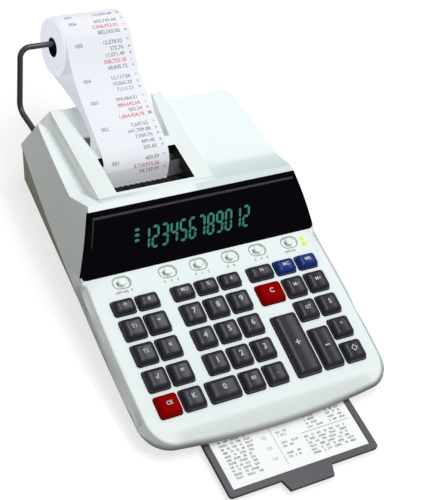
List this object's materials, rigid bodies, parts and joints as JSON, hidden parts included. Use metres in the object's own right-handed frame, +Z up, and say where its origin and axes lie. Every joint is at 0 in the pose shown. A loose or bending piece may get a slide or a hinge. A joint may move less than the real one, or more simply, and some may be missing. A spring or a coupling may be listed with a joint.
{
  "type": "desktop printing calculator",
  "caption": "Desk calculator with sloping keyboard, display window, built-in tape printer with a paper roll on a wire arm, selector knobs and a slide-out reference tray.",
  "frame": {"origin": "middle of the footprint, tray tip to back of the paper roll, on the desk top", "axes": "+Z up, keyboard and tray towards -Y, paper roll towards +Y, X across the keyboard"},
  "size_m": [0.2186, 0.3987, 0.1196],
  "materials": {
    "housing": "moulded, fine grain",
    "housing_lower": "moulded, fine grain",
    "window": "polished smoked acrylic",
    "tube": "dark glass with lit digits",
    "board": "solder mask",
    "frame": "plated sheet",
    "drum": "inked type wheels",
    "ink": "inked felt",
    "feed": "rubber",
    "clear": "clear",
    "wire": "black coated wire",
    "paper": "uncoated",
    "tray": "moulded",
    "card": "printed card",
    "feet": "rubber",
    "key_dark": "moulded satin",
    "key_red": "moulded satin",
    "key_blue": "moulded satin",
    "knob": "moulded"
  },
  "bodies": {
    "case": {"lower_case": "housing_lower", "upper_case": "housing", "printer_cover": "housing", "display_window": "window", "display_tube": "tube", "circuit_board": "board", "printer_frame": "frame", "tear_bar": "clear", "feet": "feet"},
    "tray": {"reference_tray": "tray", "reference_card": "card"},
    "arm": {"roll_arm": "wire", "paper_tape": "paper"},
    "roll": {"paper_roll": "paper"},
    "drum": {"print_drum": "drum"},
    "inker": {"ink_roller": "ink"},
    "feeder": {"feed_roller": "feed"},
    "key_top_1_body": {"key_top_1": "key_dark"},
    "key_top_2_body": {"key_top_2": "key_dark"},
    "key_top_3_body": {"key_top_3": "key_dark"},
    "key_top_4_body": {"key_top_4": "key_dark"},
    "key_top_5_body": {"key_top_5": "key_dark"},
    "key_top_6_body": {"key_top_6": "key_dark"},
    "key_top_7_body": {"key_top_7": "key_blue"},
    "key_top_8_body": {"key_top_8": "key_blue"},
    "key_second_1_body": {"key_second_1": "key_dark"},
    "key_second_2_body": {"key_second_2": "key_dark"},
    "key_second_3_body": {"key_second_3": "key_dark"},
    "key_second_4_body": {"key_second_4": "key_dark"},
    "key_second_5_body": {"key_second_5": "key_dark"},
    "key_second_6_body": {"key_second_6": "key_red"},
    "key_second_7_body": {"key_second_7": "key_dark"},
    "key_second_8_body": {"key_second_8": "key_dark"},
    "key_third_1_body": {"key_third_1": "key_dark"},
    "key_third_2_body": {"key_third_2": "key_dark"},
    "key_third_3_body": {"key_third_3": "key_dark"},
    "key_third_4_body": {"key_third_4": "key_dark"},
    "key_third_5_body": {"key_third_5": "key_dark"},
    "key_third_7_body": {"key_third_7": "key_dark"},
    "key_third_8_body": {"key_third_8": "key_dark"},
    "key_fourth_1_body": {"key_fourth_1": "key_dark"},
    "key_fourth_2_body": {"key_fourth_2": "key_dark"},
    "key_fourth_3_body": {"key_fourth_3": "key_dark"},
    "key_fourth_4_body": {"key_fourth_4": "key_dark"},
    "key_fourth_5_body": {"key_fourth_5": "key_dark"},
    "key_fourth_8_body": {"key_fourth_8": "key_dark"},
    "key_fifth_1_body": {"key_fifth_1": "key_red"},
    "key_fifth_2_body": {"key_fifth_2": "key_dark"},
    "key_fifth_3_body": {"key_fifth_3": "key_dark"},
    "key_fifth_4_body": {"key_fifth_4": "key_dark"},
    "key_fifth_5_body": {"key_fifth_5": "key_dark"},
    "key_fifth_8_body": {"key_fifth_8": "key_dark"},
    "key_plus_body": {"key_plus": "key_dark"},
    "key_minus_body": {"key_minus": "key_dark"},
    "selector_knob_1_body": {"selector_knob_1": "knob"},
    "selector_knob_2_body": {"selector_knob_2": "knob"},
    "selector_knob_3_body": {"selector_knob_3": "knob"},
    "selector_knob_4_body": {"selector_knob_4": "knob"},
    "selector_knob_5_body": {"selector_knob_5": "knob"},
    "selector_knob_6_body": {"selector_knob_6": "knob"}
  },
  "joints": [
    {"name": "tray_slide", "type": "slide", "parent": "case", "child": "tray", "axis": [0, 1, 0], "range_m": [0, 0.045]},
    {"name": "arm_fold", "type": "hinge", "parent": "case", "child": "arm", "pos_m": [0, 0.12355, 0.0515], "axis": [-1, 0, 0], "range_deg": [0, 35], "deforming": ["paper_tape"]},
    {"name": "roll_spin", "type": "hinge", "parent": "arm", "child": "roll", "pos_m": [0, 0.17605, 0.096], "axis": [1, 0, 0], "continuous": true},
    {"name": "drum_spin", "type": "hinge", "parent": "case", "child": "drum", "pos_m": [0, 0.05055, 0.0515], "axis": [1, 0, 0], "continuous": true},
    {"name": "ink_spin", "type": "hinge", "parent": "case", "child": "inker", "pos_m": [0, 0.03434, 0.0532], "axis": [1, 0, 0], "continuous": true},
    {"name": "feed_spin", "type": "hinge", "parent": "case", "child": "feeder", "pos_m": [0, 0.06805, 0.044], "axis": [1, 0, 0], "continuous": true},
    {"name": "key_top_1_press", "type": "slide", "parent": "case", "child": "key_top_1_body", "axis": [0, 0.1409, -0.99], "range_m": [0, 0.0028], "stiffness_N_per_m": 150, "springref_m": -0.001},
    {"name": "key_top_2_press", "type": "slide", "parent": "case", "child": "key_top_2_body", "axis": [0, 0.1409, -0.99], "range_m": [0, 0.0028], "stiffness_N_per_m": 150, "springref_m": -0.001},
    {"name": "key_top_3_press", "type": "slide", "parent": "case", "child": "key_top_3_body", "axis": [0, 0.1409, -0.99], "range_m": [0, 0.0028], "stiffness_N_per_m": 150, "springref_m": -0.001},
    {"name": "key_top_4_press", "type": "slide", "parent": "case", "child": "key_top_4_body", "axis": [0, 0.1409, -0.99], "range_m": [0, 0.0028], "stiffness_N_per_m": 150, "springref_m": -0.001},
    {"name": "key_top_5_press", "type": "slide", "parent": "case", "child": "key_top_5_body", "axis": [0, 0.1409, -0.99], "range_m": [0, 0.0028], "stiffness_N_per_m": 150, "springref_m": -0.001},
    {"name": "key_top_6_press", "type": "slide", "parent": "case", "child": "key_top_6_body", "axis": [0, 0.1409, -0.99], "range_m": [0, 0.0028], "stiffness_N_per_m": 150, "springref_m": -0.001},
    {"name": "key_top_7_press", "type": "slide", "parent": "case", "child": "key_top_7_body", "axis": [0, 0.1409, -0.99], "range_m": [0, 0.0028], "stiffness_N_per_m": 150, "springref_m": -0.001},
    {"name": "key_top_8_press", "type": "slide", "parent": "case", "child": "key_top_8_body", "axis": [0, 0.1409, -0.99], "range_m": [0, 0.0028], "stiffness_N_per_m": 150, "springref_m": -0.001},
    {"name": "key_second_1_press", "type": "slide", "parent": "case", "child": "key_second_1_body", "axis": [0, 0.1409, -0.99], "range_m": [0, 0.0028], "stiffness_N_per_m": 150, "springref_m": -0.001},
    {"name": "key_second_2_press", "type": "slide", "parent": "case", "child": "key_second_2_body", "axis": [0, 0.1409, -0.99], "range_m": [0, 0.0028], "stiffness_N_per_m": 150, "springref_m": -0.001},
    {"name": "key_second_3_press", "type": "slide", "parent": "case", "child": "key_second_3_body", "axis": [0, 0.1409, -0.99], "range_m": [0, 0.0028], "stiffness_N_per_m": 150, "springref_m": -0.001},
    {"name": "key_second_4_press", "type": "slide", "parent": "case", "child": "key_second_4_body", "axis": [0, 0.1409, -0.99], "range_m": [0, 0.0028], "stiffness_N_per_m": 150, "springref_m": -0.001},
    {"name": "key_second_5_press", "type": "slide", "parent": "case", "child": "key_second_5_body", "axis": [0, 0.1409, -0.99], "range_m": [0, 0.0028], "stiffness_N_per_m": 150, "springref_m": -0.001},
    {"name": "key_second_6_press", "type": "slide", "parent": "case", "child": "key_second_6_body", "axis": [0, 0.1409, -0.99], "range_m": [0, 0.0028], "stiffness_N_per_m": 150, "springref_m": -0.001},
    {"name": "key_second_7_press", "type": "slide", "parent": "case", "child": "key_second_7_body", "axis": [0, 0.1409, -0.99], "range_m": [0, 0.0028], "stiffness_N_per_m": 150, "springref_m": -0.001},
    {"name": "key_second_8_press", "type": "slide", "parent": "case", "child": "key_second_8_body", "axis": [0, 0.1409, -0.99], "range_m": [0, 0.0028], "stiffness_N_per_m": 150, "springref_m": -0.001},
    {"name": "key_third_1_press", "type": "slide", "parent": "case", "child": "key_third_1_body", "axis": [0, 0.1409, -0.99], "range_m": [0, 0.0028], "stiffness_N_per_m": 150, "springref_m": -0.001},
    {"name": "key_third_2_press", "type": "slide", "parent": "case", "child": "key_third_2_body", "axis": [0, 0.1409, -0.99], "range_m": [0, 0.0028], "stiffness_N_per_m": 150, "springref_m": -0.001},
    {"name": "key_third_3_press", "type": "slide", "parent": "case", "child": "key_third_3_body", "axis": [0, 0.1409, -0.99], "range_m": [0, 0.0028], "stiffness_N_per_m": 150, "springref_m": -0.001},
    {"name": "key_third_4_press", "type": "slide", "parent": "case", "child": "key_third_4_body", "axis": [0, 0.1409, -0.99], "range_m": [0, 0.0028], "stiffness_N_per_m": 150, "springref_m": -0.001},
    {"name": "key_third_5_press", "type": "slide", "parent": "case", "child": "key_third_5_body", "axis": [0, 0.1409, -0.99], "range_m": [0, 0.0028], "stiffness_N_per_m": 150, "springref_m": -0.001},
    {"name": "key_third_7_press", "type": "slide", "parent": "case", "child": "key_third_7_body", "axis": [0, 0.1409, -0.99], "range_m": [0, 0.0028], "stiffness_N_per_m": 150, "springref_m": -0.001},
    {"name": "key_third_8_press", "type": "slide", "parent": "case", "child": "key_third_8_body", "axis": [0, 0.1409, -0.99], "range_m": [0, 0.0028], "stiffness_N_per_m": 150, "springref_m": -0.001},
    {"name": "key_fourth_1_press", "type": "slide", "parent": "case", "child": "key_fourth_1_body", "axis": [0, 0.1409, -0.99], "range_m": [0, 0.0028], "stiffness_N_per_m": 150, "springref_m": -0.001},
    {"name": "key_fourth_2_press", "type": "slide", "parent": "case", "child": "key_fourth_2_body", "axis": [0, 0.1409, -0.99], "range_m": [0, 0.0028], "stiffness_N_per_m": 150, "springref_m": -0.001},
    {"name": "key_fourth_3_press", "type": "slide", "parent": "case", "child": "key_fourth_3_body", "axis": [0, 0.1409, -0.99], "range_m": [0, 0.0028], "stiffness_N_per_m": 150, "springref_m": -0.001},
    {"name": "key_fourth_4_press", "type": "slide", "parent": "case", "child": "key_fourth_4_body", "axis": [0, 0.1409, -0.99], "range_m": [0, 0.0028], "stiffness_N_per_m": 150, "springref_m": -0.001},
    {"name": "key_fourth_5_press", "type": "slide", "parent": "case", "child": "key_fourth_5_body", "axis": [0, 0.1409, -0.99], "range_m": [0, 0.0028], "stiffness_N_per_m": 150, "springref_m": -0.001},
    {"name": "key_fourth_8_press", "type": "slide", "parent": "case", "child": "key_fourth_8_body", "axis": [0, 0.1409, -0.99], "range_m": [0, 0.0028], "stiffness_N_per_m": 150, "springref_m": -0.001},
    {"name": "key_fifth_1_press", "type": "slide", "parent": "case", "child": "key_fifth_1_body", "axis": [0, 0.1409, -0.99], "range_m": [0, 0.0028], "stiffness_N_per_m": 150, "springref_m": -0.001},
    {"name": "key_fifth_2_press", "type": "slide", "parent": "case", "child": "key_fifth_2_body", "axis": [0, 0.1409, -0.99], "range_m": [0, 0.0028], "stiffness_N_per_m": 150, "springref_m": -0.001},
    {"name": "key_fifth_3_press", "type": "slide", "parent": "case", "child": "key_fifth_3_body", "axis": [0, 0.1409, -0.99], "range_m": [0, 0.0028], "stiffness_N_per_m": 150, "springref_m": -0.001},
    {"name": "key_fifth_4_press", "type": "slide", "parent": "case", "child": "key_fifth_4_body", "axis": [0, 0.1409, -0.99], "range_m": [0, 0.0028], "stiffness_N_per_m": 150, "springref_m": -0.001},
    {"name": "key_fifth_5_press", "type": "slide", "parent": "case", "child": "key_fifth_5_body", "axis": [0, 0.1409, -0.99], "range_m": [0, 0.0028], "stiffness_N_per_m": 150, "springref_m": -0.001},
    {"name": "key_fifth_8_press", "type": "slide", "parent": "case", "child": "key_fifth_8_body", "axis": [0, 0.1409, -0.99], "range_m": [0, 0.0028], "stiffness_N_per_m": 150, "springref_m": -0.001},
    {"name": "key_plus_press", "type": "slide", "parent": "case", "child": "key_plus_body", "axis": [0, 0.1409, -0.99], "range_m": [0, 0.0028], "stiffness_N_per_m": 150, "springref_m": -0.001},
    {"name": "key_minus_press", "type": "slide", "parent": "case", "child": "key_minus_body", "axis": [0, 0.1409, -0.99], "range_m": [0, 0.0028], "stiffness_N_per_m": 150, "springref_m": -0.001},
    {"name": "selector_knob_1_slide", "type": "slide", "parent": "case", "child": "selector_knob_1_body", "axis": [1, 0, 0], "range_m": [-0.0025, 0.0025]},
    {"name": "selector_knob_2_slide", "type": "slide", "parent": "case", "child": "selector_knob_2_body", "axis": [1, 0, 0], "range_m": [-0.0025, 0.0025]},
    {"name": "selector_knob_3_slide", "type": "slide", "parent": "case", "child": "selector_knob_3_body", "axis": [1, 0, 0], "range_m": [-0.0025, 0.0025]},
    {"name": "selector_knob_4_slide", "type": "slide", "parent": "case", "child": "selector_knob_4_body", "axis": [1, 0, 0], "range_m": [-0.0025, 0.0025]},
    {"name": "selector_knob_5_slide", "type": "slide", "parent": "case", "child": "selector_knob_5_body", "axis": [1, 0, 0], "range_m": [-0.0025, 0.0025]},
    {"name": "selector_knob_6_slide", "type": "slide", "parent": "case", "child": "selector_knob_6_body", "axis": [1, 0, 0], "range_m": [-0.0025, 0.0025]}
  ],
  "couplings": [
    {"joint": "ink_spin", "follows": "drum_spin", "ratio": -1.2857}
  ]
}
